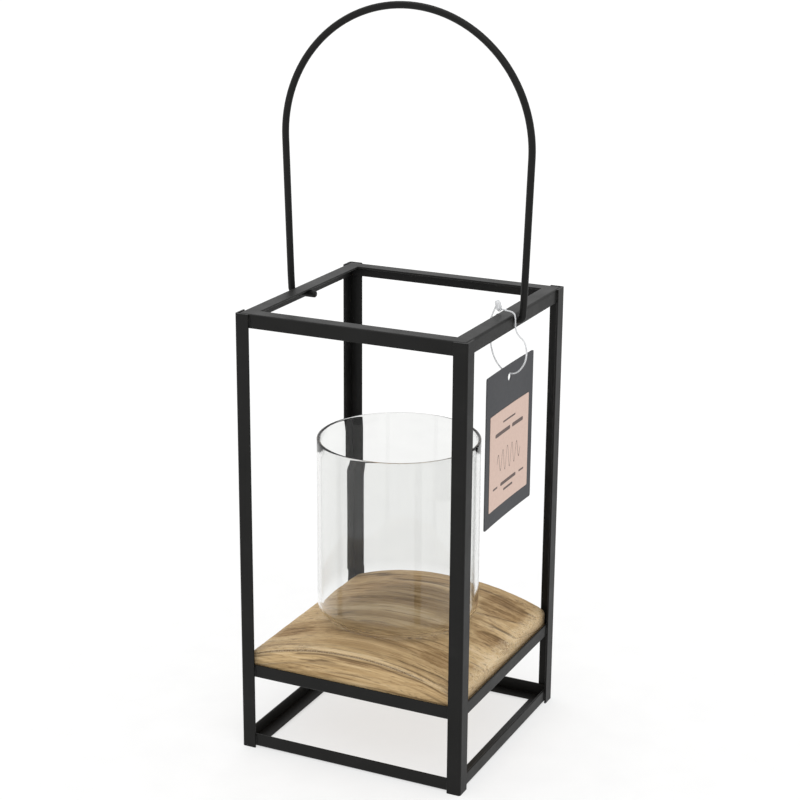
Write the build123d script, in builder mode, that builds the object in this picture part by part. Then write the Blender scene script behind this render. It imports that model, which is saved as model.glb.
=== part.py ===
from build123d import *
import os
from math import cos, radians, sin, tan

# Hanging lantern: an open box of welded angle iron, a crowned wooden board on its shelf, a glass
# cylinder standing on the board, a swinging wire bail, and a hang tag looped round a top rail.
# Millimetres. +Z is up, +Y is the back, and the origin is at the middle of the footprint on the
# surface that the lantern stands on.

os.makedirs("parts", exist_ok=True)

# Frame: four angle-iron posts with their corners outwards, and three square rings of angle iron
FRAME_WIDTH = 120.0
FRAME_HEIGHT = 225.5
SHEET = 1.0                 # thickness of every angle's legs
POST_LEG_X = 7.2            # post leg that shows on the front and back faces
POST_LEG_Y = 8.2            # post leg that shows on the left and right faces
RAIL_FLANGE = 8.0           # level leg of a rail, pointing into the box
RAIL_DROP = 6.8             # upright leg of a rail
BEND_RADIUS = 1.2           # outside of the angle's bend
EDGE_RADIUS = 0.3           # free edges of the legs
BASE_Z = 0.6                # the post ends stand this far below the base rails
SHELF_Z = 38.4              # underside of the shelf rails

# Wooden board: a slice with a crowned top that rests on the shelf rails' ledge
BOARD_HALF_WIDTH = 56.6
BOARD_HALF_DEPTH = 57.2
BOARD_SIDE_TOP_Z = 50.8
BOARD_CROWN_Z = 61.3
BOARD_SIDE_ROUND = 1.8
BOARD_END_ROUND = 1.0
SCREW_X = 54.8
SCREW_Y = 38.0
SCREW_RADIUS = 1.4
SCREW_HOLE_RADIUS = 1.7
SCREW_DEPTH = 8.5
SCREW_HEAD_RADIUS = 2.7
SCREW_HEAD_HEIGHT = 1.6

# Glass cylinder
GLASS_CENTRE_X = -2.3
GLASS_GAP = 0.25            # between the underside and the board's crown
GLASS_RADIUS = 41.0
GLASS_HEIGHT = 93.4
GLASS_WALL = 1.6
GLASS_FLOOR = 2.0
GLASS_FOOT_ROUND = 7.0
GLASS_RIM_ROUND = 0.7

# Wire bail
PIVOT_Z = 222.5
WIRE_RADIUS = 1.75
PIVOT_CLEARANCE = 0.08
ARCH_RADIUS = 64.6
ARCH_CENTRE_Z = 301.6
LEG_LEAN = 1.8              # degrees that each leg closes in below the arch
LEG_KNEE_Z = 231.0          # where each leg starts to close in more, towards its pivot
FOOT_X = 62.0
KNEE_BEND = 18.0
FOOT_BEND = 2.2
TIP_X = 48.3                # inner end of each pivot
TIP_ROUND = 1.0

# Hang tag, its nylon loop and the catch that closes the loop
TAG_X = 56.5
TAG_Y = -0.7
TAG_WIDTH = 57.4
TAG_TOP_Z = 200.4
TAG_HEIGHT = 75.8
TAG_THICK = 0.6
TAG_HOLE_Y = -1.0
TAG_HOLE_Z = 194.3
TAG_HOLE_RADIUS = 2.0
LABEL_WIDTH = 47.6
LABEL_HEIGHT = 48.0
LABEL_CENTRE_Z = 156.1
LABEL_THICK = 0.15
LOOP_RADIUS = 0.4
LOOP_ROUTE = [
    (51.6, -3.8, 228.2),
    (54.6, -3.8, 227.4),
    (58.6, -3.7, 226.9),
    (59.8, -3.5, 225.0),
    (59.6, -2.9, 216.8),
    (65.0, -2.0, 212.4),
    (65.2, -1.4, 203.4),
    (61.0, -1.0, 196.8),
    (56.5, -1.0, 195.5),
    (52.4, -1.0, 197.2),
    (48.0, -1.4, 203.0),
    (46.3, -2.2, 212.0),
    (46.2, -3.3, 222.4),
    (50.6, -3.8, 230.2),
]
CATCH_LOW = (51.9, -3.8, 226.6)
CATCH_HIGH = (50.2, -3.8, 231.9)
CATCH_WIDTH = 3.2
CATCH_THICK = 2.4
CATCH_ROUND = 1.0

half = FRAME_WIDTH / 2
ring_half = half - SHEET
board_bottom_z = SHELF_Z + SHEET
glass_z = BOARD_CROWN_Z + GLASS_GAP


def finish_piece(piece, name):
    piece.part.label = name
    export_step(piece.part, f"parts/{name}.step")


# Posts: the bend is at the box's corner, and each leg lies in one outer face
for post_name, side_x, side_y in (
    ("post_front_left", -1, -1),
    ("post_front_right", 1, -1),
    ("post_back_left", -1, 1),
    ("post_back_right", 1, 1),
):
    with BuildPart() as post:
        with BuildSketch(Plane.XY):
            with BuildLine():
                Polyline(
                    (side_x * half, side_y * half),
                    (side_x * (half - POST_LEG_X), side_y * half),
                    (side_x * (half - POST_LEG_X), side_y * ring_half),
                    (side_x * ring_half, side_y * ring_half),
                    (side_x * ring_half, side_y * (half - POST_LEG_Y)),
                    (side_x * half, side_y * (half - POST_LEG_Y)),
                    close=True,
                )
            make_face()
        extrude(amount=FRAME_HEIGHT)
        corner = post.edges().filter_by(Axis.Z).sort_by_distance((0, 0, FRAME_HEIGHT / 2))[-1]
        fillet(corner, radius=BEND_RADIUS)
        leg_ends = (
            post.faces()
            .filter_by(lambda face: abs(face.normal_at().Z) < 0.01)
            .filter_by(lambda face: face.area < 1.5 * SHEET * FRAME_HEIGHT)
            .filter_by(GeomType.PLANE)
        )
        free_edges = leg_ends.edges().filter_by(Axis.Z)
        fillet(free_edges, radius=EDGE_RADIUS)
    finish_piece(post, post_name)


# Rails: each is drawn as the front one and turned about the box's axis, with mitred ends
def make_rail(turn, bottom_z, ledge_on_top, screw_places=(), with_pivot=False):
    ledge_z = bottom_z + RAIL_DROP - SHEET if ledge_on_top else bottom_z
    turned = Plane.XY.rotated((0, 0, turn))
    inner = ring_half - RAIL_FLANGE
    back_of_leg = ring_half - SHEET
    along = Axis((0, 0, 0), turned.x_dir)
    with BuildPart() as rail:
        with BuildSketch(turned.offset(ledge_z)):
            with BuildLine():
                Polyline(
                    (-ring_half, -ring_half),
                    (ring_half, -ring_half),
                    (inner, -inner),
                    (-inner, -inner),
                    close=True,
                )
            make_face()
        extrude(amount=SHEET)
        with BuildSketch(turned.offset(bottom_z)):
            with BuildLine():
                Polyline(
                    (-ring_half, -ring_half),
                    (ring_half, -ring_half),
                    (back_of_leg, -back_of_leg),
                    (-back_of_leg, -back_of_leg),
                    close=True,
                )
            make_face()
        extrude(amount=RAIL_DROP)
        levels = rail.edges().filter_by(along).group_by(Axis.Z)
        bend_level, free_level = (levels[-1], levels[0]) if ledge_on_top else (levels[0], levels[-1])
        bend = bend_level.sort_by(SortBy.LENGTH)[-1]
        flange_end = rail.edges().filter_by(along).sort_by(SortBy.LENGTH)[:2]
        fillet([*free_level, *flange_end], radius=EDGE_RADIUS)
        fillet(bend, radius=BEND_RADIUS)
        if screw_places:
            with BuildSketch(turned.offset(ledge_z)):
                with Locations(*screw_places):
                    Circle(SCREW_HOLE_RADIUS)
            extrude(amount=SHEET, mode=Mode.SUBTRACT)
        if with_pivot:
            outside = Plane((0, 0, PIVOT_Z), turned.x_dir, turned.y_dir).offset(-half)
            with BuildSketch(outside):
                Circle(WIRE_RADIUS + PIVOT_CLEARANCE)
            extrude(amount=3 * SHEET, mode=Mode.SUBTRACT)
    return rail


SIDES = (("front", 0), ("right", 90), ("back", 180), ("left", 270))
screw_holes = [(-SCREW_Y, -SCREW_X), (SCREW_Y, -SCREW_X)]

for side, turn in SIDES:
    base_rail = make_rail(turn, BASE_Z, False)
    finish_piece(base_rail, f"base_rail_{side}")

for side, turn in SIDES:
    holes = screw_holes if side in ("left", "right") else ()
    shelf_rail = make_rail(turn, SHELF_Z, False, screw_places=holes)
    finish_piece(shelf_rail, f"shelf_rail_{side}")

for side, turn in SIDES:
    holds_bail = side in ("left", "right")
    top_rail = make_rail(turn, FRAME_HEIGHT - RAIL_DROP, True, with_pivot=holds_bail)
    finish_piece(top_rail, f"top_rail_{side}")


# Board: a crowned profile with its crown running from front to back
with BuildPart() as wood_board:
    with BuildSketch(Plane.XZ):
        with BuildLine():
            Polyline(
                (-BOARD_HALF_WIDTH, BOARD_SIDE_TOP_Z),
                (-BOARD_HALF_WIDTH, board_bottom_z),
                (BOARD_HALF_WIDTH, board_bottom_z),
                (BOARD_HALF_WIDTH, BOARD_SIDE_TOP_Z),
            )
            ThreePointArc(
                (BOARD_HALF_WIDTH, BOARD_SIDE_TOP_Z),
                (0, BOARD_CROWN_Z),
                (-BOARD_HALF_WIDTH, BOARD_SIDE_TOP_Z),
            )
        make_face()
    extrude(amount=BOARD_HALF_DEPTH, both=True)
    side_arrises = wood_board.edges().filter_by(Axis.Y).group_by(Axis.Z)[-1]
    fillet(side_arrises, radius=BOARD_SIDE_ROUND)
    end_faces = wood_board.faces().filter_by(Axis.Y)
    end_arrises = end_faces.edges().filter_by(
        lambda edge: edge.center().Z > BOARD_SIDE_TOP_Z - BOARD_SIDE_ROUND
    )
    fillet(end_arrises, radius=BOARD_END_ROUND)
    with BuildSketch(Plane.XY.offset(board_bottom_z)):
        with GridLocations(2 * SCREW_X, 2 * SCREW_Y, 2, 2):
            Circle(SCREW_RADIUS)
    extrude(amount=SCREW_DEPTH, mode=Mode.SUBTRACT)
finish_piece(wood_board, "wood_board")

# Screws: four pan heads under the side ledges, up into the board
with BuildPart() as board_screws:
    with BuildSketch(Plane.XY.offset(SHELF_Z - SCREW_HEAD_HEIGHT)):
        with GridLocations(2 * SCREW_X, 2 * SCREW_Y, 2, 2):
            Circle(SCREW_HEAD_RADIUS)
    extrude(amount=SCREW_HEAD_HEIGHT)
    head_rims = board_screws.edges().filter_by(GeomType.CIRCLE).group_by(Axis.Z)[0]
    fillet(head_rims, radius=SCREW_HEAD_HEIGHT * 0.6)
    with BuildSketch(Plane.XY.offset(SHELF_Z)):
        with GridLocations(2 * SCREW_X, 2 * SCREW_Y, 2, 2):
            Circle(SCREW_RADIUS)
    extrude(amount=SHEET + SCREW_DEPTH)
finish_piece(board_screws, "board_screws")

# Glass: a straight-sided beaker with a rounded foot and a fire-polished rim
glass_axis = Axis((GLASS_CENTRE_X, 0, 0), (0, 0, 1))
with BuildPart() as glass_cylinder:
    with BuildSketch(Plane.XZ) as glass_profile:
        with Locations((GLASS_CENTRE_X, glass_z)):
            Rectangle(GLASS_RADIUS, GLASS_HEIGHT, align=(Align.MIN, Align.MIN))
        foot_corner = glass_profile.vertices().sort_by(Axis.X)[-2:].sort_by(Axis.Y)[0]
        fillet(foot_corner, radius=GLASS_FOOT_ROUND)
    revolve(axis=glass_axis)
    with BuildSketch(Plane.XZ) as bore_profile:
        with Locations((GLASS_CENTRE_X, glass_z + GLASS_FLOOR)):
            Rectangle(GLASS_RADIUS - GLASS_WALL, GLASS_HEIGHT, align=(Align.MIN, Align.MIN))
        floor_corner = bore_profile.vertices().sort_by(Axis.X)[-2:].sort_by(Axis.Y)[0]
        fillet(floor_corner, radius=GLASS_FOOT_ROUND - GLASS_WALL)
    revolve(axis=glass_axis, mode=Mode.SUBTRACT)
    rim = glass_cylinder.edges().filter_by(GeomType.CIRCLE).group_by(Axis.Z)[-1]
    fillet(rim, radius=GLASS_RIM_ROUND)
finish_piece(glass_cylinder, "glass_cylinder")

# Bail: a round arch on two legs that close in a little, with pivots bent inwards through the
# side rails
leg_top_x = ARCH_RADIUS * cos(radians(LEG_LEAN))
leg_top_z = ARCH_CENTRE_Z - ARCH_RADIUS * sin(radians(LEG_LEAN))
knee_x = leg_top_x - (leg_top_z - LEG_KNEE_Z) * tan(radians(LEG_LEAN))
with BuildPart() as handle:
    with BuildLine(Plane.XZ) as wire_line:
        FilletPolyline(
            (-TIP_X, PIVOT_Z),
            (-FOOT_X, PIVOT_Z),
            (-knee_x, LEG_KNEE_Z),
            (-leg_top_x, leg_top_z),
            radius=[FOOT_BEND, KNEE_BEND],
        )
        ThreePointArc(
            (-leg_top_x, leg_top_z),
            (0, ARCH_CENTRE_Z + ARCH_RADIUS),
            (leg_top_x, leg_top_z),
        )
        FilletPolyline(
            (leg_top_x, leg_top_z),
            (knee_x, LEG_KNEE_Z),
            (FOOT_X, PIVOT_Z),
            (TIP_X, PIVOT_Z),
            radius=[KNEE_BEND, FOOT_BEND],
        )
    with BuildSketch(Plane.YZ.offset(-TIP_X)):
        with Locations((0, PIVOT_Z)):
            Circle(WIRE_RADIUS)
    sweep(path=wire_line.wires()[0])
    tip_faces = handle.faces().filter_by(Axis.X).filter_by(GeomType.PLANE)
    fillet(tip_faces.edges(), radius=TIP_ROUND)
finish_piece(handle, "handle")


# Tag loop: a nylon filament from its catch, over the rail, down through the tag and back
def route_radii(points):
    radii = []
    for before, here, after in zip(points, points[1:], points[2:]):
        run_in = Vector(*here) - Vector(*before)
        run_out = Vector(*after) - Vector(*here)
        turn = run_in.get_angle(run_out)
        shorter = min(run_in.length, run_out.length)
        radii.append(0.45 * shorter / tan(radians(turn) / 2))
    return radii


with BuildPart() as tag_loop:
    with BuildLine() as loop_line:
        FilletPolyline(*LOOP_ROUTE, radius=route_radii(LOOP_ROUTE))
    loop_start = Plane(
        origin=LOOP_ROUTE[0],
        z_dir=Vector(*LOOP_ROUTE[1]) - Vector(*LOOP_ROUTE[0]),
    )
    with BuildSketch(loop_start):
        Circle(LOOP_RADIUS)
    sweep(path=loop_line.wires()[0])
finish_piece(tag_loop, "tag_loop")

# Loop catch: the moulded block that both ends of the filament go into
catch_run = Vector(*CATCH_HIGH) - Vector(*CATCH_LOW)
with BuildPart() as loop_catch:
    with BuildSketch(Plane(origin=CATCH_LOW, x_dir=(0, 1, 0), z_dir=catch_run)):
        RectangleRounded(CATCH_WIDTH, CATCH_THICK, CATCH_ROUND)
    extrude(amount=catch_run.length)
finish_piece(loop_catch, "loop_catch")

# Tag card and its stuck-on label
with BuildPart() as tag_card:
    with BuildSketch(Plane.YZ.offset(TAG_X - TAG_THICK / 2)):
        with Locations((TAG_Y, TAG_TOP_Z - TAG_HEIGHT / 2)):
            RectangleRounded(TAG_WIDTH, TAG_HEIGHT, 1.0)
        with Locations((TAG_HOLE_Y, TAG_HOLE_Z)):
            Circle(TAG_HOLE_RADIUS, mode=Mode.SUBTRACT)
    extrude(amount=TAG_THICK)
finish_piece(tag_card, "tag_card")

with BuildPart() as tag_label:
    with BuildSketch(Plane.YZ.offset(TAG_X + TAG_THICK / 2)):
        with Locations((TAG_Y, LABEL_CENTRE_Z)):
            RectangleRounded(LABEL_WIDTH, LABEL_HEIGHT, 0.6)
    extrude(amount=LABEL_THICK)
finish_piece(tag_label, "tag_label")
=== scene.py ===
from math import cos, pi, radians, sin, sqrt

import bmesh
import bpy
import numpy as np
from mathutils import Matrix, Vector


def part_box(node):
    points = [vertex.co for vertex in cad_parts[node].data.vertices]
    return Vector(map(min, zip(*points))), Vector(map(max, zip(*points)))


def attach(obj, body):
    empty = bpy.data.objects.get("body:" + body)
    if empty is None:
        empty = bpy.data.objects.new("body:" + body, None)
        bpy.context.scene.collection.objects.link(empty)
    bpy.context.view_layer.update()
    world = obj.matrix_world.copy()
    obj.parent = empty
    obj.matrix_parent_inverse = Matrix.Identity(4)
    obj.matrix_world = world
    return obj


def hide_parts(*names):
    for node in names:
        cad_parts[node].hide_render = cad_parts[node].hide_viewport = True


# Hanging lantern: black powder-coated angle iron, a crowned wooden board, a glass cylinder,
# a wire bail and a hang tag. Metres, in the CAD model's frame: +Z up, +Y to the back.

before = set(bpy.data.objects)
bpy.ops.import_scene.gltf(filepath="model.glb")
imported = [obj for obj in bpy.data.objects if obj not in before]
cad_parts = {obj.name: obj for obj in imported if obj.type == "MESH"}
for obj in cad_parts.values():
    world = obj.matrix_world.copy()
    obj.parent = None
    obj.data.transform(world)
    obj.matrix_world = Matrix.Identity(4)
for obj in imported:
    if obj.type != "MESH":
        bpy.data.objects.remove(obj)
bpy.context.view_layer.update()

MM = 0.001


# Camera ---------------------------------------------------------------------------------

CAMERA_PLACE = (0.3925, -0.8254, 0.4585)
CAMERA_AZIMUTH = 25.54      # degrees round from the front, towards +X
CAMERA_TILT = 17.27         # degrees below the horizon
CAMERA_ROLL = 0.37
CAMERA_LENS = 87.38         # mm, on a 36 mm sensor


def make_camera():
    data = bpy.data.cameras.new("camera")
    data.sensor_width = 36
    data.lens = CAMERA_LENS
    data.dof.use_dof = False
    data.clip_start = 0.01
    camera = bpy.data.objects.new("camera", data)
    turn = Matrix.Rotation(radians(CAMERA_AZIMUTH), 4, "Z")
    tilt = Matrix.Rotation(radians(90 - CAMERA_TILT), 4, "X")
    roll = Matrix.Rotation(radians(CAMERA_ROLL), 4, "Z")
    camera.matrix_world = Matrix.Translation(CAMERA_PLACE) @ turn @ tilt @ roll
    bpy.context.scene.collection.objects.link(camera)
    bpy.context.scene.camera = camera


# Light and floor ------------------------------------------------------------------------

def area_light(name, place, aim, width, height, power):
    data = bpy.data.lights.new(name, "AREA")
    data.shape = "RECTANGLE"
    data.size = width
    data.size_y = height
    data.energy = power
    light = bpy.data.objects.new(name, data)
    light.location = place
    light.rotation_mode = "QUATERNION"
    away = Vector(aim) - Vector(place)
    light.rotation_quaternion = away.to_track_quat("-Z", "Y")
    bpy.context.scene.collection.objects.link(light)


def make_studio():
    world = bpy.data.worlds.new("studio")
    world.use_nodes = True
    background = world.node_tree.nodes["Background"]
    background.inputs["Color"].default_value = (1.0, 1.0, 1.0, 1)
    background.inputs["Strength"].default_value = 1.0
    bpy.context.scene.world = world
    bpy.context.scene.view_settings.view_transform = "Standard"
    area_light("key", (0.6, -1.0, 1.6), (0, 0, 0.12), 0.9, 0.9, 6)
    area_light("top", (-0.3, 0.3, 1.7), (0, 0, 0.1), 1.2, 1.2, 4)

    size = 6.0
    mesh = bpy.data.meshes.new("floor")
    corners = [(-size, -size, 0), (size, -size, 0), (size, size, 0), (-size, size, 0)]
    mesh.from_pydata(corners, [], [(0, 1, 2, 3)])
    floor = bpy.data.objects.new("floor", mesh)
    bpy.context.scene.collection.objects.link(floor)
    material, shader, nodes, link = new_material("floor_paper")
    shader.inputs["Roughness"].default_value = 0.9
    shader.inputs["Specular IOR Level"].default_value = 0.1
    grain = noise_node(nodes, link, 40, detail=4)
    paper = ramp(nodes, link, grain, [
        (0.3, (0.30, 0.30, 0.298)),
        (0.7, (0.325, 0.325, 0.322)),
    ])
    # The paper glows a little, more so away from the lantern, and is shaded off on the right of
    # the picture's edge, which keeps the black side faces dark
    across, along = (split_turned(nodes, link, radians(-CAMERA_AZIMUTH)).outputs[axis] for axis in "XY")
    outside = maths(nodes, link, "MULTIPLY_ADD", along, -0.197)
    link(across, outside.node.inputs[2])
    shade = ramp(nodes, link, outside, [(0.21, 1.0), (1.6, 0.70)])
    link(mix(nodes, link, "MULTIPLY", 1.0, paper, shade), shader.inputs["Base Color"])
    link(shade, shader.inputs["Emission Color"])
    distance = nodes.new("ShaderNodeVectorMath")
    distance.operation = "LENGTH"
    link(object_point(nodes, link), distance.inputs[0])
    glow = ramp(nodes, link, distance.outputs["Value"], [(0.2, 0.64), (1.0, 0.72)])
    link(glow, shader.inputs["Emission Strength"])
    mesh.materials.append(material)


# Node helpers ---------------------------------------------------------------------------

def new_material(name):
    material = bpy.data.materials.new(name)
    material.use_nodes = True
    nodes = material.node_tree.nodes
    shader = nodes["Principled BSDF"]
    return material, shader, nodes, material.node_tree.links.new


def object_point(nodes, link, scale=(1, 1, 1), turn=(0, 0, 0), move=(0, 0, 0)):
    place = nodes.new("ShaderNodeTexCoord")
    mapping = nodes.new("ShaderNodeMapping")
    mapping.inputs["Scale"].default_value = scale
    mapping.inputs["Rotation"].default_value = turn
    mapping.inputs["Location"].default_value = move
    link(place.outputs["Object"], mapping.inputs["Vector"])
    return mapping.outputs["Vector"]


def split_turned(nodes, link, angle):
    """The parts of the object's own position, after a turn about Z."""
    split = nodes.new("ShaderNodeSeparateXYZ")
    link(object_point(nodes, link, turn=(0, 0, angle)), split.inputs["Vector"])
    return split


def noise_node(nodes, link, scale, detail=2.0, roughness=0.5, at=None, distortion=0.0):
    texture = nodes.new("ShaderNodeTexNoise")
    texture.inputs["Scale"].default_value = scale
    texture.inputs["Detail"].default_value = detail
    texture.inputs["Roughness"].default_value = roughness
    texture.inputs["Distortion"].default_value = distortion
    link(at or object_point(nodes, link), texture.inputs["Vector"])
    return texture.outputs["Fac"]


def ramp(nodes, link, value, stops):
    colours = nodes.new("ShaderNodeValToRGB")
    elements = colours.color_ramp.elements
    while len(elements) < len(stops):
        elements.new(0.5)
    for element, (position, colour) in zip(elements, stops):
        element.position = position
        rgb = (colour,) * 3 if isinstance(colour, (int, float)) else colour
        element.color = (*rgb, 1)
    link(value, colours.inputs["Fac"])
    return colours.outputs["Color"]


def maths(nodes, link, operation, a, b=None, clamp=False):
    node = nodes.new("ShaderNodeMath")
    node.operation = operation
    node.use_clamp = clamp
    for socket, value in zip(node.inputs, (a, b)):
        if value is None:
            continue
        if isinstance(value, (int, float)):
            socket.default_value = value
        else:
            link(value, socket)
    return node.outputs["Value"]


def mix(nodes, link, how, amount, a, b):
    node = nodes.new("ShaderNodeMix")
    node.data_type = "RGBA"
    node.blend_type = how
    for socket, value in ((node.inputs[0], amount), (node.inputs[6], a), (node.inputs[7], b)):
        if isinstance(value, (int, float)):
            socket.default_value = value
        elif isinstance(value, tuple):
            socket.default_value = (*value, 1)
        else:
            link(value, socket)
    return node.outputs[2]


def bump(nodes, link, shader, height, distance, strength=1.0, under=None):
    node = nodes.new("ShaderNodeBump")
    node.inputs["Strength"].default_value = strength
    node.inputs["Distance"].default_value = distance
    link(height, node.inputs["Height"])
    if under is not None:
        link(under, node.inputs["Normal"])
    link(node.outputs["Normal"], shader.inputs["Normal"])
    return node.outputs["Normal"]


# Materials ------------------------------------------------------------------------------

def black_coat():
    material, shader, nodes, link = new_material("black_coat")
    shader.inputs["Specular IOR Level"].default_value = 0.15
    patches = noise_node(nodes, link, 55, detail=5, roughness=0.6)
    link(ramp(nodes, link, patches, [
        (0.25, (0.0062, 0.0062, 0.0058)),
        (0.6, (0.0092, 0.0091, 0.0086)),
        (0.85, (0.0140, 0.0137, 0.0129)),
    ]), shader.inputs["Base Color"])
    link(ramp(nodes, link, patches, [(0.3, 0.36), (0.75, 0.48)]), shader.inputs["Roughness"])
    peel = noise_node(nodes, link, 1100, detail=2)
    soft = bump(nodes, link, shader, peel, 0.00006, 0.35)
    sag = noise_node(nodes, link, 150, detail=1)
    bump(nodes, link, shader, sag, 0.00025, 0.25, under=soft)
    return material


def clear_glass():
    material, shader, nodes, link = new_material("clear_glass")
    shader.inputs["Transmission Weight"].default_value = 1.0
    streaks = noise_node(
        nodes, link, 1.0, detail=3, at=object_point(nodes, link, scale=(90, 90, 4)))
    tint = ramp(nodes, link, streaks, [
        (0.3, (0.870, 0.874, 0.866)),
        (0.7, (0.895, 0.898, 0.890)),
    ])
    height = maths(nodes, link, "MULTIPLY_ADD", split_turned(nodes, link, 0).outputs["Z"], 10)
    height.node.inputs[2].default_value = -0.64
    wall = ramp(nodes, link, height, [(0.0, 0.0), (0.1, 1.0)])
    # The thin foot shows the wood almost untouched
    link(ramp(nodes, link, height, [(0.0, 1.01), (0.08, 1.33)]), shader.inputs["IOR"])
    link(mix(nodes, link, "MIX", wall, (1.0, 1.0, 1.0), tint), shader.inputs["Base Color"])
    link(ramp(nodes, link, streaks, [(0.3, 0.0), (0.8, 0.008)]), shader.inputs["Roughness"])
    bump(nodes, link, shader, streaks, 0.0003, 0.15)
    return material


def board_wood():
    """Growth bands, dark lines and pale edges come with the mesh; fibres and pores are added."""
    material, shader, nodes, link = new_material("board_wood")
    field = nodes.new("ShaderNodeAttribute")
    field.attribute_name = "wood_field"
    parts = nodes.new("ShaderNodeSeparateColor")
    link(field.outputs["Color"], parts.inputs["Color"])
    tone, grain_and_shadow_lines, worn = (parts.outputs[name] for name in ("Red", "Green", "Blue"))

    fibre = noise_node(
        nodes, link, 1.0, detail=5, roughness=0.62,
        at=object_point(nodes, link, scale=(38, 1000, 1000), turn=(0, 0, 0.02)), distortion=0.2)
    fleck = noise_node(
        nodes, link, 1.0, detail=3, roughness=0.5,
        at=object_point(nodes, link, scale=(240, 2200, 2200), turn=(0, 0, -0.03)))
    pores = ramp(nodes, link, fleck, [(0.60, 0.0), (0.70, 1.0)])

    streaked = maths(nodes, link, "MULTIPLY_ADD", fibre, 0.76)
    link(maths(nodes, link, "SUBTRACT", tone, 0.38), streaked.node.inputs[2])
    ground = ramp(nodes, link, streaked, [
        (0.10, (0.165, 0.094, 0.038)),
        (0.32, (0.300, 0.186, 0.080)),
        (0.55, (0.435, 0.292, 0.140)),
        (0.78, (0.560, 0.398, 0.208)),
        (0.95, (0.650, 0.492, 0.290)),
    ])
    vein = noise_node(
        nodes, link, 1.0, detail=8, roughness=0.72,
        at=object_point(nodes, link, scale=(15, 480, 480), turn=(0, 0, 0.03)), distortion=0.5)
    veined = mix(nodes, link, "MIX", ramp(nodes, link, vein, [(0.54, 0.0), (0.63, 0.68)]), ground,
                 (0.135, 0.074, 0.032))
    pored = mix(nodes, link, "MIX", maths(nodes, link, "MULTIPLY", pores, 0.42), veined,
                (0.130, 0.073, 0.034))
    lined = mix(nodes, link, "MIX", grain_and_shadow_lines, pored, (0.070, 0.038, 0.018))
    fuzz = noise_node(nodes, link, 1400, detail=3, roughness=0.7)
    worn_part = maths(nodes, link, "MULTIPLY", worn, ramp(nodes, link, fuzz, [(0.42, 0.0), (0.62, 1.0)]))
    final = mix(nodes, link, "MIX", worn_part, lined, (0.660, 0.540, 0.370))
    link(final, shader.inputs["Base Color"])

    link(ramp(nodes, link, streaked, [(0.2, 0.72), (0.8, 0.58)]), shader.inputs["Roughness"])
    shader.inputs["Specular IOR Level"].default_value = 0.22
    grooves = maths(nodes, link, "SUBTRACT", fibre, maths(nodes, link, "MULTIPLY", pores, 0.5))
    soft = bump(nodes, link, shader, grooves, 0.0002, 0.55)
    bump(nodes, link, shader, fuzz, 0.00012, 0.25, under=soft)
    return material


def dark_card():
    material, shader, nodes, link = new_material("dark_card")
    pulp = noise_node(nodes, link, 420, detail=5, roughness=0.7)
    sweep = noise_node(nodes, link, 24, detail=1)
    tone = mix(nodes, link, "MIX", 0.6, ramp(nodes, link, pulp, [(0.3, 0.25), (0.7, 0.75)]),
               ramp(nodes, link, sweep, [(0.3, 0.2), (0.7, 0.8)]))
    link(ramp(nodes, link, tone, [
        (0.2, (0.038, 0.040, 0.045)),
        (0.8, (0.064, 0.065, 0.070)),
    ]), shader.inputs["Base Color"])
    shader.inputs["Roughness"].default_value = 0.62
    shader.inputs["Specular IOR Level"].default_value = 0.35
    bump(nodes, link, shader, pulp, 0.00006, 0.4)
    return material


def label_paper():
    material, shader, nodes, link = new_material("label_paper")
    pulp = noise_node(nodes, link, 600, detail=5, roughness=0.7)
    link(ramp(nodes, link, pulp, [
        (0.3, (0.620, 0.445, 0.370)),
        (0.7, (0.680, 0.505, 0.425)),
    ]), shader.inputs["Base Color"])
    shader.inputs["Roughness"].default_value = 0.55
    bump(nodes, link, shader, pulp, 0.00004, 0.4)
    return material


def print_ink():
    material, shader, nodes, link = new_material("print_ink")
    spread = noise_node(nodes, link, 2500, detail=2)
    link(ramp(nodes, link, spread, [
        (0.35, (0.085, 0.058, 0.052)),
        (0.7, (0.150, 0.105, 0.092)),
    ]), shader.inputs["Base Color"])
    shader.inputs["Roughness"].default_value = 0.6
    return material


def clear_nylon():
    material, shader, nodes, link = new_material("clear_nylon")
    haze = noise_node(nodes, link, 500, detail=2)
    link(ramp(nodes, link, haze, [
        (0.3, (0.80, 0.81, 0.83)),
        (0.7, (0.90, 0.91, 0.92)),
    ]), shader.inputs["Base Color"])
    shader.inputs["Roughness"].default_value = 0.25
    shader.inputs["Transmission Weight"].default_value = 0.35
    shader.inputs["IOR"].default_value = 1.5
    bump(nodes, link, shader, haze, 0.00005, 0.3)
    return material


def screw_steel():
    material, shader, nodes, link = new_material("screw_steel")
    shader.inputs["Metallic"].default_value = 1.0
    plating = noise_node(nodes, link, 700, detail=4)
    link(ramp(nodes, link, plating, [
        (0.3, (0.30, 0.29, 0.26)),
        (0.7, (0.46, 0.45, 0.42)),
    ]), shader.inputs["Base Color"])
    link(ramp(nodes, link, plating, [(0.3, 0.28), (0.7, 0.45)]), shader.inputs["Roughness"])
    bump(nodes, link, shader, plating, 0.00004, 0.4)
    return material


# Mesh helpers ---------------------------------------------------------------------------

def add_piece(name, mesh, material, body, replaced=()):
    piece = bpy.data.objects.new(name, mesh)
    bpy.context.scene.collection.objects.link(piece)
    mesh.materials.append(material)
    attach(piece, body)
    if replaced:
        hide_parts(*replaced)
    return piece


def mesh_from(name, points, faces, smooth=True):
    mesh = bpy.data.meshes.new(name)
    mesh.from_pydata([tuple(point) for point in points], [], faces)
    mesh.validate()
    for polygon in mesh.polygons:
        polygon.use_smooth = smooth
    return mesh


def ring_faces(rows, columns):
    """Quads between closed rings of points, ring after ring."""
    return [
        (row * columns + column,
         row * columns + (column + 1) % columns,
         (row + 1) * columns + (column + 1) % columns,
         (row + 1) * columns + column)
        for row in range(rows - 1)
        for column in range(columns)
    ]


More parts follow.
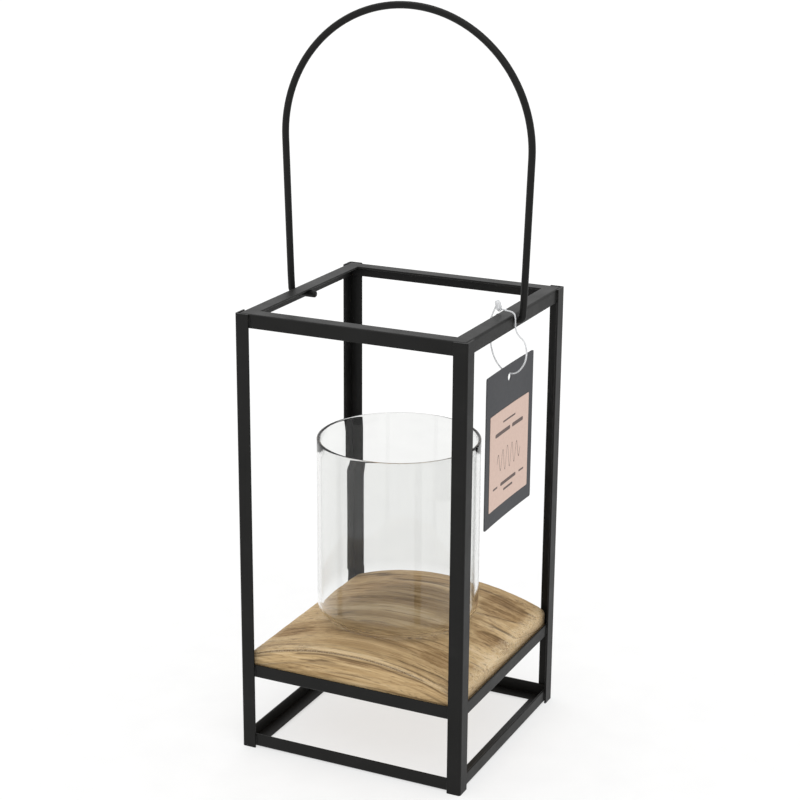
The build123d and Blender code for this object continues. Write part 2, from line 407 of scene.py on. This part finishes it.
def assign(name, material):
    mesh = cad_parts[name].data
    mesh.materials.clear()
    mesh.materials.append(material)


LATTICE = np.random.RandomState(11).rand(256, 256)


def field_noise(a, b, octaves=1):
    """Smooth noise from 0 to 1 at the points (a, b), which are numpy arrays."""
    total = np.zeros_like(a)
    weight = 0.0
    for octave in range(octaves):
        share = 0.5 ** octave
        u = a * 2 ** octave + 17.3 * octave
        v = b * 2 ** octave + 5.1 * octave
        column = np.floor(u).astype(int)
        row = np.floor(v).astype(int)
        s = u - column
        t = v - row
        s = s * s * (3 - 2 * s)
        t = t * t * (3 - 2 * t)
        corner = [LATTICE[(row + down) % 256, (column + along) % 256]
                  for down in (0, 1) for along in (0, 1)]
        upper = corner[0] * (1 - s) + corner[1] * s
        lower = corner[2] * (1 - s) + corner[3] * s
        total += share * (upper * (1 - t) + lower * t)
        weight += share
    return total / weight


def smooth_step(low, high, value):
    share = np.clip((value - low) / (high - low), 0, 1)
    return share * share * (3 - 2 * share)


# Wooden board ---------------------------------------------------------------------------

CROWN_RADIUS = 157.8        # mm, of the board's crowned top, whose crown runs front to back
BOARD_STEP = 0.4            # mm between points of the board's top
SIDE_ROWS = 44               # rows of points down the sides, the first ones at a fixed spacing
EVEN_ROWS = 16
EVEN_STEP = 0.28            # mm


def board_shape():
    """Points of the board in mm, their outward directions, and the faces between them."""
    low, high = (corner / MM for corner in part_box("wood_board"))
    half_x = (high.x - low.x) / 2
    half_y = (high.y - low.y) / 2
    columns = int(2 * half_x / BOARD_STEP)
    rows = int(2 * half_y / BOARD_STEP)
    x_line = np.linspace(-half_x, half_x, columns)
    y_line = np.linspace(-half_y, half_y, rows)

    def thickness(x):
        return high.z - low.z - CROWN_RADIUS + np.sqrt(CROWN_RADIUS ** 2 - x * x)

    x_top, y_top = (grid.ravel() for grid in np.meshgrid(x_line, y_line))
    rim = (
        [column for column in range(columns)]
        + [row * columns + columns - 1 for row in range(1, rows)]
        + [(rows - 1) * columns + column for column in range(columns - 2, -1, -1)]
        + [row * columns for row in range(rows - 2, 0, -1)]
    )
    rim_x, rim_y = x_top[rim], y_top[rim]
    below = np.minimum(np.arange(1, SIDE_ROWS + 1), EVEN_ROWS) * EVEN_STEP
    level = 1 - np.maximum(np.arange(1, SIDE_ROWS + 1) - EVEN_ROWS, 0) / (SIDE_ROWS - EVEN_ROWS)
    x = np.concatenate([x_top] + [rim_x] * SIDE_ROWS)
    y = np.concatenate([y_top] + [rim_y] * SIDE_ROWS)
    full = thickness(x)
    below = np.concatenate([np.zeros(len(x_top)), np.repeat(below, len(rim))])
    t = (full - below) * np.concatenate([np.ones(len(x_top)), np.repeat(level, len(rim))])

    at_side = smooth_step(half_x - 5, half_x - 1, np.abs(x))
    wander = field_noise(x / 9 + 40, y / 9 + 40, 2)
    radius = 0.75 + 0.9 * at_side + 0.8 * (wander - 0.4)
    radius = np.clip(radius, 0.5, 2.2)
    inner_x = np.clip(x, -half_x + radius, half_x - radius)
    inner_y = np.clip(y, -half_y + radius, half_y - radius)
    inner_t = np.minimum(t, full - radius)
    away = np.stack([x - inner_x, y - inner_y, t - inner_t], 1)
    length = np.maximum(np.linalg.norm(away, axis=1), 1e-9)[:, None]
    outward = away / length
    points = np.stack([inner_x, inner_y, inner_t], 1) + outward * radius[:, None]
    points[:, 2] += low.z

    faces = [
        (row * columns + column, row * columns + column + 1,
         (row + 1) * columns + column + 1, (row + 1) * columns + column)
        for row in range(rows - 1) for column in range(columns - 1)
    ]
    count = len(rim)
    first = len(x_top)
    for level in range(SIDE_ROWS):
        for i in range(count):
            after = (i + 1) % count
            above = (rim[i], rim[after]) if level == 0 else (
                first + (level - 1) * count + i, first + (level - 1) * count + after)
            below = (first + level * count + i, first + level * count + after)
            faces.append((above[0], below[0], below[1], above[1]))
    faces.append(tuple(first + (SIDE_ROWS - 1) * count + i for i in range(count)))
    return points, outward, faces, (half_x, half_y, high.z)


# Knots, as (x, y, size, push), and soft darker and paler patches, as (x, y, half width,
# half depth, tone). Millimetres on the board, seen from above.
KNOTS = ((16.4, -25.0, 3.2, 3.4), (-20.0, 5.5, 1.1, 1.2), (-8.0, 11.6, 1.0, -1.1), (45.0, 51.5, 1.6, 1.8))
PATCHES = (
    (40.0, 39.0, 13, 13, -0.26),
    (49.0, 2.0, 11, 6, -0.28),
    (36.0, -34.0, 9, 7, -0.18),
    (-47.0, -31.0, 14, 8, -0.20),
    (-5.0, -25.0, 17, 8, -0.12),
    (-15.0, 25.0, 34, 15, -0.17),
    (-2.0, -1.0, 27, 8, 0.16),
    (47.0, 16.0, 12, 8, 0.20),
    (-30.0, -8.0, 14, 10, 0.08),
    (50.0, -14.5, 9, 10, 0.16),
)
# Dark growth lines across the top, each with a faint painted shadow line beside it, as (x start, x end, y
# at start, y at end, bow, strength)
TOP_LINES = (
    (30, 57, 23.5, 34.5, -1.5, 0.75),
    (40, 57, 7.6, 9.4, 0.4, 0.65),
    (-16, 11, -17.5, -17.0, 0.8, 0.55),
    (-17, -2, -30.5, -28.0, 0.6, 0.60),
    (-14, 8, -25.0, -24.0, -0.8, 0.45),
    (20, 54, -50.2, -49.4, 0.3, 0.80),
    (-57, -15, -49.0, -51.5, -1.0, 0.55),
    (-20, 22, -51.0, -50.4, 0.5, 0.45),
    (48, 57, -24.6, -24.0, 0.2, 0.60),
    (-57, -38, -26.0, -31.0, 0.8, 0.45),
    (3, 28, -36.5, -38.5, 1.4, 0.40),
)
# Lines on the front and back faces, as (mm below the crown, wander, half width, strength)
END_LINES = ((1.4, 0.5, 0.60, 0.85), (3.0, 0.9, 0.50, 0.70), (7.5, 1.6, 0.55, 0.50))


def board_field(points, size):
    """Tone, dark lines (grain lines, and painted shadow lines beside the top ones) and worn edges at the
    board's points, and how far each is sunk.
    """
    half_x, half_y, crown_z = size
    x, y, z = points.T
    depth = CROWN_RADIUS - np.hypot(x, z - crown_z + CROWN_RADIUS)
    depth = np.maximum(depth, 0)
    across = y + 5.0 * (field_noise(x / 44, y / 36) - 0.5)
    across += 2.2 * (field_noise(x / 16 + 9, y / 12 + 9) - 0.5)
    ring = np.zeros_like(x)
    for knot_x, knot_y, knot_size, push in KNOTS:
        away = np.hypot((x - knot_x) / 1.7, y - knot_y) / knot_size
        across += push * np.tanh((y - knot_y) / knot_size * 1.5) * np.exp(-away ** 2)
        swirl = 0.5 + 0.5 * np.cos(away * 5.5)
        ring = np.maximum(ring, swirl * np.exp(-(away * 1.1) ** 2) * (depth < 1))
    layer = across - 4.6 * depth

    tone = 0.61 + 0.62 * (field_noise(layer / 7.5, x / 95 + 3, 3) - 0.5)
    tone += 0.44 * (field_noise(layer / 1.6, x / 40 + 3, 2) - 0.5)
    for patch_x, patch_y, half_width, half_depth, change in PATCHES:
        away = np.hypot((x - patch_x) / half_width, (across - patch_y) / half_depth)
        tone += change * (1 - smooth_step(0.80, 1.08, away)) * (depth < 2.5)

    ridge = 1 - np.abs(2 * field_noise(layer / 5.2 + 50, x / 70, 2) - 1)
    thin = smooth_step(0.90, 0.99, ridge)
    strength = smooth_step(0.45, 0.75, field_noise(x / 26 + 5, layer / 9, 2))
    grain_and_shadow_lines = 0.72 * thin * strength
    broken = 0.55 + 0.45 * smooth_step(0.3, 0.6, field_noise(x / 3.1, y / 1.5 + 30, 2))
    on_top = depth < 1.2
    for start, end, y_start, y_end, bow, force in TOP_LINES:
        share = (x - start) / (end - start)
        path = y_start + (y_end - y_start) * share + 4 * bow * share * (1 - share)
        path += 1.1 * (field_noise(x / 7 + y_start, x * 0) - 0.5)
        inside = smooth_step(-0.03, 0.12, share) * (1 - smooth_step(0.88, 1.03, share))
        # The second term is a painted shadow: a faint, wider dark line 0.8 mm in front of each growth line
        near = np.exp(-((y - path) / 0.42) ** 2) + 0.30 * np.exp(-((y - path + 0.8) / 0.9) ** 2)
        grain_and_shadow_lines = np.maximum(grain_and_shadow_lines, force * inside * near * broken * on_top)
    on_end = np.abs(y) > half_y - 2.2
    for below, swing, half_line, force in END_LINES:
        wander = swing * (field_noise(x / 13 + below, x * 0 + below) - 0.5)
        near = np.exp(-((depth - below - wander) / half_line) ** 2)
        fade = smooth_step(0.15, 0.4, field_noise(x / 18 + 4 * below, x * 0 + 2))
        grain_and_shadow_lines = np.maximum(grain_and_shadow_lines, force * near * fade * on_end)
    grain_and_shadow_lines = np.maximum(grain_and_shadow_lines, 0.75 * ring)

    edge = np.minimum(half_x - np.abs(x), 12)
    rough = field_noise(x / 2.2, y / 2.6, 3)
    worn = (1 - smooth_step(2.0, 6.5, edge + 3 * (rough - 0.5))) * np.where(x > 0, 0.75, 0.35)
    worn *= depth < 6
    end_edge = half_y - np.abs(y)
    worn = np.maximum(worn, 0.35 * (1 - smooth_step(0.4, 2.2, end_edge)) * (depth < 2.0))

    tone = np.clip(tone + 0.10 * worn, 0, 1)
    chips = smooth_step(0.60, 0.85, field_noise(x / 1.7 + 8, y / 1.9, 2)) * (edge < 2.5)
    sunk = 0.08 * grain_and_shadow_lines + 0.10 * (1 - tone) + 0.45 * chips * (depth < 4)
    sunk += 0.12 * field_noise(x / 5, layer / 0.9, 2)
    return tone, grain_and_shadow_lines, worn, sunk


def make_board(material):
    points, outward, faces, size = board_shape()
    tone, grain_and_shadow_lines, worn, sunk = board_field(points, size)
    _, _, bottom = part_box("wood_board")[0] / MM
    sunk = sunk * smooth_step(bottom + 0.5, bottom + 3, points[:, 2])
    placed = (points - outward * sunk[:, None]) * MM
    mesh = mesh_from("board_slab", placed, faces)
    mesh.polygons[len(faces) - 1].use_smooth = False
    field = mesh.attributes.new("wood_field", "FLOAT_COLOR", "POINT")
    colours = np.stack([tone, grain_and_shadow_lines, worn, np.ones_like(tone)], 1).astype(np.float32)
    field.data.foreach_set("color", colours.ravel())
    add_piece("board_slab", mesh, material, "frame", ["wood_board"])


# Glass ----------------------------------------------------------------------------------

GLASS_SEGMENTS = 160
GLASS_WALL = 1.6
GLASS_FLOOR = 2.0
GLASS_FOOT = 7.0            # outside radius of the foot's rounding


def arc(centre_r, centre_z, radius, start, end, steps):
    return [
        (centre_r + radius * cos(radians(start + (end - start) * i / steps)),
         centre_z + radius * sin(radians(start + (end - start) * i / steps)))
        for i in range(steps + 1)
    ]


def make_glass(material):
    low, high = (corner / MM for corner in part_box("glass_cylinder"))
    centre_x = (low.x + high.x) / 2
    radius = (high.x - low.x) / 2
    inside = radius - GLASS_WALL
    foot_in = GLASS_FOOT - GLASS_WALL
    floor_z = low.z + GLASS_FLOOR
    lip = GLASS_WALL / 2
    heights = np.linspace(0.08, 0.92, 15)
    outer = arc(radius - GLASS_FOOT, low.z + GLASS_FOOT, GLASS_FOOT, -90, 0, 12)
    outer += [(radius, low.z + GLASS_FOOT + share * (high.z - low.z - GLASS_FOOT)) for share in heights]
    rim = arc(radius - lip, high.z - lip, lip, 0, 180, 12)
    inner = [(inside, floor_z + foot_in + share * (high.z - floor_z - foot_in)) for share in heights[::-1]]
    inner += arc(inside - foot_in, floor_z + foot_in, foot_in, 0, -90, 10)
    under = [(share * (radius - GLASS_FOOT), low.z) for share in (0.3, 0.6, 0.85)]
    floor = [(share * (inside - foot_in), floor_z) for share in (0.85, 0.6, 0.3)]
    profile = under + outer + rim + inner + floor
    angles = np.arange(GLASS_SEGMENTS) * 2 * pi / GLASS_SEGMENTS
    points = []
    for r, z in profile:
        wave = field_noise(np.cos(angles) * 1.6 + 20, np.sin(angles) * 1.6 + z / 60, 2) - 0.5
        round_r = r - 0.12 * np.abs(wave) * smooth_step(0, 10, r)
        points += [
            ((centre_x + rr * cos(angle)) * MM, rr * sin(angle) * MM, z * MM)
            for rr, angle in zip(round_r, angles)
        ]
    faces = ring_faces(len(profile), GLASS_SEGMENTS)
    last = (len(profile) - 1) * GLASS_SEGMENTS
    faces.append(tuple(reversed(range(GLASS_SEGMENTS))))
    faces.append(tuple(range(last, last + GLASS_SEGMENTS)))
    mesh = mesh_from("glass_beaker", points, faces)
    add_piece("glass_beaker", mesh, material, "glass", ["glass_cylinder"])


# Hang tag -------------------------------------------------------------------------------

CARD_BOW = 0.5              # mm that the card's two long edges curl outwards
LOOP_ROUTE = (
    (51.6, -3.8, 228.2), (54.6, -3.8, 227.4), (58.6, -3.7, 226.9), (59.8, -3.5, 225.0),
    (59.6, -2.9, 216.8), (65.0, -2.0, 212.4), (65.2, -1.4, 203.4), (61.0, -1.0, 196.8),
    (56.5, -1.0, 195.5), (52.4, -1.0, 197.2), (48.0, -1.4, 203.0), (46.3, -2.2, 212.0),
    (46.2, -3.3, 222.4), (50.6, -3.8, 230.2),
)
LOOP_THICK = 0.8


def bent_sheet(name, outline, hole, centre_x, thick, bow, half_width, centre_y):
    """A thin sheet in a plane x = constant, cut to an outline in (y, z) mm, and bowed a little."""
    shape = bmesh.new()
    loops = [outline] + ([hole] if hole else [])
    edges = []
    for loop in loops:
        ring = [shape.verts.new((0, y, z)) for y, z in loop]
        edges += [shape.edges.new((a, b)) for a, b in zip(ring, ring[1:] + ring[:1])]
    bmesh.ops.triangle_fill(shape, use_beauty=True, use_dissolve=False, edges=edges, normal=(1, 0, 0))
    y_all = [y for y, _ in outline]
    z_all = [z for _, z in outline]
    for axis, low, high, step in ((1, min(y_all), max(y_all), 2.4), (2, min(z_all), max(z_all), 4.0)):
        for cut in np.arange(low + step, high - step / 2, step):
            place = [0, 0, 0]
            place[axis] = float(cut)
            normal = [0, 0, 0]
            normal[axis] = 1
            bmesh.ops.bisect_plane(
                shape, geom=shape.verts[:] + shape.edges[:] + shape.faces[:],
                dist=1e-4, plane_co=place, plane_no=normal)
    bmesh.ops.recalc_face_normals(shape, faces=shape.faces[:])
    front = bmesh.ops.extrude_face_region(shape, geom=shape.faces[:])["geom"]
    moved = [part for part in front if isinstance(part, bmesh.types.BMVert)]
    bmesh.ops.translate(shape, verts=moved, vec=(thick, 0, 0))
    bmesh.ops.recalc_face_normals(shape, faces=shape.faces[:])
    for vert in shape.verts:
        share = (vert.co.y - centre_y) / half_width
        vert.co.x += centre_x - thick / 2 + bow * (share * share - 0.5)
        vert.co *= MM
    mesh = bpy.data.meshes.new(name)
    shape.to_mesh(mesh)
    shape.free()
    return mesh


def rounded_outline(y_low, y_high, z_low, z_high, radius, steps=5):
    outline = []
    for centre_y, centre_z, start in (
        (y_high - radius, z_high - radius, 0),
        (y_low + radius, z_high - radius, 90),
        (y_low + radius, z_low + radius, 180),
        (y_high - radius, z_low + radius, 270),
    ):
        outline += arc(centre_y, centre_z, radius, start, start + 90, steps)
    return outline


def make_tag(card, paper, ink):
    low, high = (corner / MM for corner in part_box("tag_card"))
    centre_y = (low.y + high.y) / 2
    half_width = (high.y - low.y) / 2
    centre_x = (low.x + high.x) / 2
    hole_y, hole_z, hole_radius = -1.0, 194.3, 2.0
    hole = arc(hole_y, hole_z, hole_radius, 0, 350, 35)
    outline = rounded_outline(low.y, high.y, low.z, high.z, 1.0)
    thick = high.x - low.x
    mesh = bent_sheet("card", outline, hole, centre_x, thick, CARD_BOW, half_width, centre_y)
    add_piece("card", mesh, card, "tag", ["tag_card"])

    label_low, label_high = (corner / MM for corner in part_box("tag_label"))
    label_thick = label_high.x - label_low.x
    face_x = centre_x + thick / 2
    outline = rounded_outline(label_low.y, label_high.y, label_low.z, label_high.z, 0.6)
    mesh = bent_sheet("paper_label", outline, None, face_x + label_thick / 2, label_thick,
                      CARD_BOW, half_width, centre_y)
    add_piece("paper_label", mesh, paper, "tag", ["tag_label"])

    # Plain rules and one wave, in the label's own width and height from its lower left corner
    width = label_high.y - label_low.y
    height = label_high.z - label_low.z
    rules = (
        (0.34, 0.66, 0.865, 0.009), (0.14, 0.53, 0.765, 0.020), (0.58, 0.86, 0.765, 0.020),
        (0.10, 0.22, 0.215, 0.010), (0.78, 0.90, 0.215, 0.010), (0.30, 0.70, 0.215, 0.018),
        (0.38, 0.62, 0.140, 0.012),
    )
    marks = []
    for start, end, level, half_line in rules:
        marks.append(rounded_outline(
            label_low.y + start * width, label_low.y + end * width,
            label_low.z + (level - half_line) * height, label_low.z + (level + half_line) * height,
            0.9 * half_line * height, 3))
    wave_steps = 72
    wave = []
    for side in (1, -1):
        for i in range(wave_steps + 1):
            share = i / wave_steps if side == 1 else 1 - i / wave_steps
            swing = sin(share * 5 * 2 * pi) * (0.075 + 0.045 * sin(share * pi))
            pen = 0.006 + 0.006 * (1 + cos(share * 10 * 2 * pi)) / 2
            wave.append((
                label_low.y + (0.20 + 0.60 * share) * width,
                label_low.z + (0.465 + swing + side * pen) * height))
    marks.append(wave)
    joined = bmesh.new()
    for mark in marks:
        part = bent_sheet("mark", mark, None, face_x + label_thick + 0.02, 0.03,
                          CARD_BOW, half_width, centre_y)
        joined.from_mesh(part)
        bpy.data.meshes.remove(part)
    mesh = bpy.data.meshes.new("label_rules")
    joined.to_mesh(mesh)
    joined.free()
    add_piece("label_rules", mesh, ink, "tag")


def make_loop(material):
    curve = bpy.data.curves.new("nylon_loop", "CURVE")
    curve.dimensions = "3D"
    curve.bevel_depth = LOOP_THICK / 2 * MM
    curve.bevel_resolution = 5
    curve.resolution_u = 10
    curve.use_fill_caps = True
    spline = curve.splines.new("NURBS")
    spline.points.add(len(LOOP_ROUTE) - 1)
    for point, place in zip(spline.points, LOOP_ROUTE):
        point.co = (*(value * MM for value in place), 1)
    spline.order_u = 3
    spline.use_endpoint_u = True
    curve.materials.append(material)
    loop = bpy.data.objects.new("nylon_loop", curve)
    bpy.context.scene.collection.objects.link(loop)
    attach(loop, "frame")
    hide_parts("tag_loop")


CATCH_LOW = Vector((51.9, -3.8, 226.6))
CATCH_HIGH = Vector((50.2, -3.8, 231.9))
# Widths along the catch, as (share of its length, width, thickness) in mm
CATCH_SECTIONS = (
    (0.0, 0.9, 0.7), (0.05, 1.9, 1.4), (0.14, 2.6, 1.9), (0.30, 3.1, 2.3), (0.46, 3.0, 2.2),
    (0.54, 3.0, 2.2), (0.70, 3.1, 2.3), (0.86, 2.6, 1.9), (0.95, 1.9, 1.4), (1.0, 0.9, 0.7),
)


def make_catch(material):
    along = CATCH_HIGH - CATCH_LOW
    side = Vector((0, 1, 0))
    up = along.normalized().cross(side)
    steps = 20
    points = []
    for share, width, thick in CATCH_SECTIONS:
        centre = CATCH_LOW + along * share
        for i in range(steps):
            angle = 2 * pi * i / steps
            c, s = cos(angle), sin(angle)
            square = 1 / (abs(c) ** 4 + abs(s) ** 4) ** 0.25
            place = centre + side * (c * square * width / 2) + up * (s * square * thick / 2)
            points.append(place * MM)
    faces = ring_faces(len(CATCH_SECTIONS), steps)
    last = (len(CATCH_SECTIONS) - 1) * steps
    faces.append(tuple(reversed(range(steps))))
    faces.append(tuple(range(last, last + steps)))
    mesh = mesh_from("moulded_catch", points, faces)
    add_piece("moulded_catch", mesh, material, "frame", ["loop_catch"])


# Welds ----------------------------------------------------------------------------------

BEAD_RADIUS = 0.55


def bead_points(start, end, seed):
    """A short rippled bead along a line, as rings of points in mm."""
    start, end = Vector(start), Vector(end)
    along = (end - start).normalized()
    side = along.cross(Vector((0.31, 0.83, 0.47))).normalized()
    other = along.cross(side)
    rings, steps = 15, 10
    points = []
    for ring in range(rings):
        share = ring / (rings - 1)
        swell = sqrt(max(1e-3, sin(pi * (0.03 + 0.94 * share))))
        ripple = 1 + 0.16 * sin(ring * 2.4 + seed) + 0.10 * sin(ring * 1.1 + 3 * seed)
        for i in range(steps):
            angle = 2 * pi * i / steps
            radius = BEAD_RADIUS * swell * ripple
            place = start.lerp(end, share) + (side * cos(angle) + other * sin(angle)) * radius
            points.append(place)
    return points, rings, steps


def make_welds(level, material):
    """Beads where each post's free edge meets the two rails of one ring."""
    points, faces = [], []
    seed = 0.0
    for post in ("front_left", "front_right", "back_left", "back_right"):
        low, high = (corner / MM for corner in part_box(f"post_{post}"))
        sign_x = 1 if low.x > 0 else -1
        sign_y = 1 if low.y > 0 else -1
        edge_x = low.x if sign_x > 0 else high.x
        edge_y = low.y if sign_y > 0 else high.y
        across = "back" if sign_y > 0 else "front"
        side = "right" if sign_x > 0 else "left"
        rail_low, rail_high = (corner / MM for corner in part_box(f"{level}_rail_{across}"))
        rail_y = rail_high.y if sign_y > 0 else rail_low.y
        side_low, side_high = (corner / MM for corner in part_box(f"{level}_rail_{side}"))
        rail_x = side_high.x if sign_x > 0 else side_low.x
        bottom, top = rail_low.z + 1.0, rail_high.z - 1.0
        for x, y in ((edge_x - 0.12 * sign_x, rail_y), (rail_x, edge_y - 0.12 * sign_y)):
            seed += 1.7
            ring_points, rings, steps = bead_points((x, y, bottom), (x, y, top), seed)
            first = len(points)
            points += [point * MM for point in ring_points]
            faces += [tuple(first + i for i in face) for face in ring_faces(rings, steps)]
            faces.append(tuple(first + i for i in reversed(range(steps))))
            faces.append(tuple(first + (rings - 1) * steps + i for i in range(steps)))
    mesh = mesh_from(f"{level}_welds", points, faces)
    add_piece(f"{level}_welds", mesh, material, "frame")


# Screws ---------------------------------------------------------------------------------

def make_screws(material):
    """Pan heads with a cross recess, under the side ledges."""
    low, high = (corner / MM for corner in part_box("board_screws"))
    head_radius, head_height, shank_radius = 2.7, 1.6, 1.4
    places = [(x, y) for x in (low.x + head_radius, high.x - head_radius)
              for y in (low.y + head_radius, high.y - head_radius)]
    steps = 32
    profile = [(high.z, 0.4), (high.z - 1.2, shank_radius), (low.z + head_height, shank_radius),
               (low.z + head_height, head_radius), (low.z + 1.1, head_radius),
               (low.z + 0.5, 2.45), (low.z + 0.15, 2.05), (low.z, 1.6)]
    arm, waist = 1.15, 0.32
    cross = [(waist, waist), (waist, arm), (-waist, arm), (-waist, waist), (-arm, waist),
             (-arm, -waist), (-waist, -waist), (-waist, -arm), (waist, -arm), (waist, -waist),
             (arm, -waist), (arm, waist)]
    shape = bmesh.new()
    for centre_x, centre_y in places:
        rings = [
            [shape.verts.new((centre_x + r * cos(2 * pi * i / steps),
                              centre_y + r * sin(2 * pi * i / steps), z)) for i in range(steps)]
            for z, r in profile
        ]
        for ring, below in zip(rings, rings[1:]):
            for i in range(steps):
                after = (i + 1) % steps
                shape.faces.new((ring[i], below[i], below[after], ring[after]))
        shape.faces.new(rings[0])
        mouth = [shape.verts.new((centre_x + x, centre_y + y, low.z)) for x, y in cross]
        edges = []
        for loop in (rings[-1], mouth):
            for a, b in zip(loop, loop[1:] + loop[:1]):
                edges.append(shape.edges.get((a, b)) or shape.edges.new((a, b)))
        bmesh.ops.triangle_fill(shape, use_beauty=True, edges=edges, normal=(0, 0, -1))
        seat = [shape.verts.new((centre_x + 0.7 * x, centre_y + 0.7 * y, low.z + 1.0)) for x, y in cross]
        for i in range(len(cross)):
            after = (i + 1) % len(cross)
            shape.faces.new((mouth[i], mouth[after], seat[after], seat[i]))
        shape.faces.new(seat)
    bmesh.ops.recalc_face_normals(shape, faces=shape.faces[:])
    bmesh.ops.scale(shape, vec=(MM, MM, MM), verts=shape.verts[:])
    mesh = bpy.data.meshes.new("pan_head_screws")
    shape.to_mesh(mesh)
    shape.free()
    add_piece("pan_head_screws", mesh, material, "frame", ["board_screws"])


# Assembly -------------------------------------------------------------------------------

make_camera()
nylon = clear_nylon()
make_loop(nylon)
make_catch(nylon)
make_studio()

coat = black_coat()
for node_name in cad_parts:
    if "rail" in node_name or "post" in node_name or node_name == "handle":
        assign(node_name, coat)
for ring_level in ("top", "shelf", "base"):
    make_welds(ring_level, coat)
make_board(board_wood())
make_glass(clear_glass())
make_tag(dark_card(), label_paper(), print_ink())
make_screws(screw_steel())
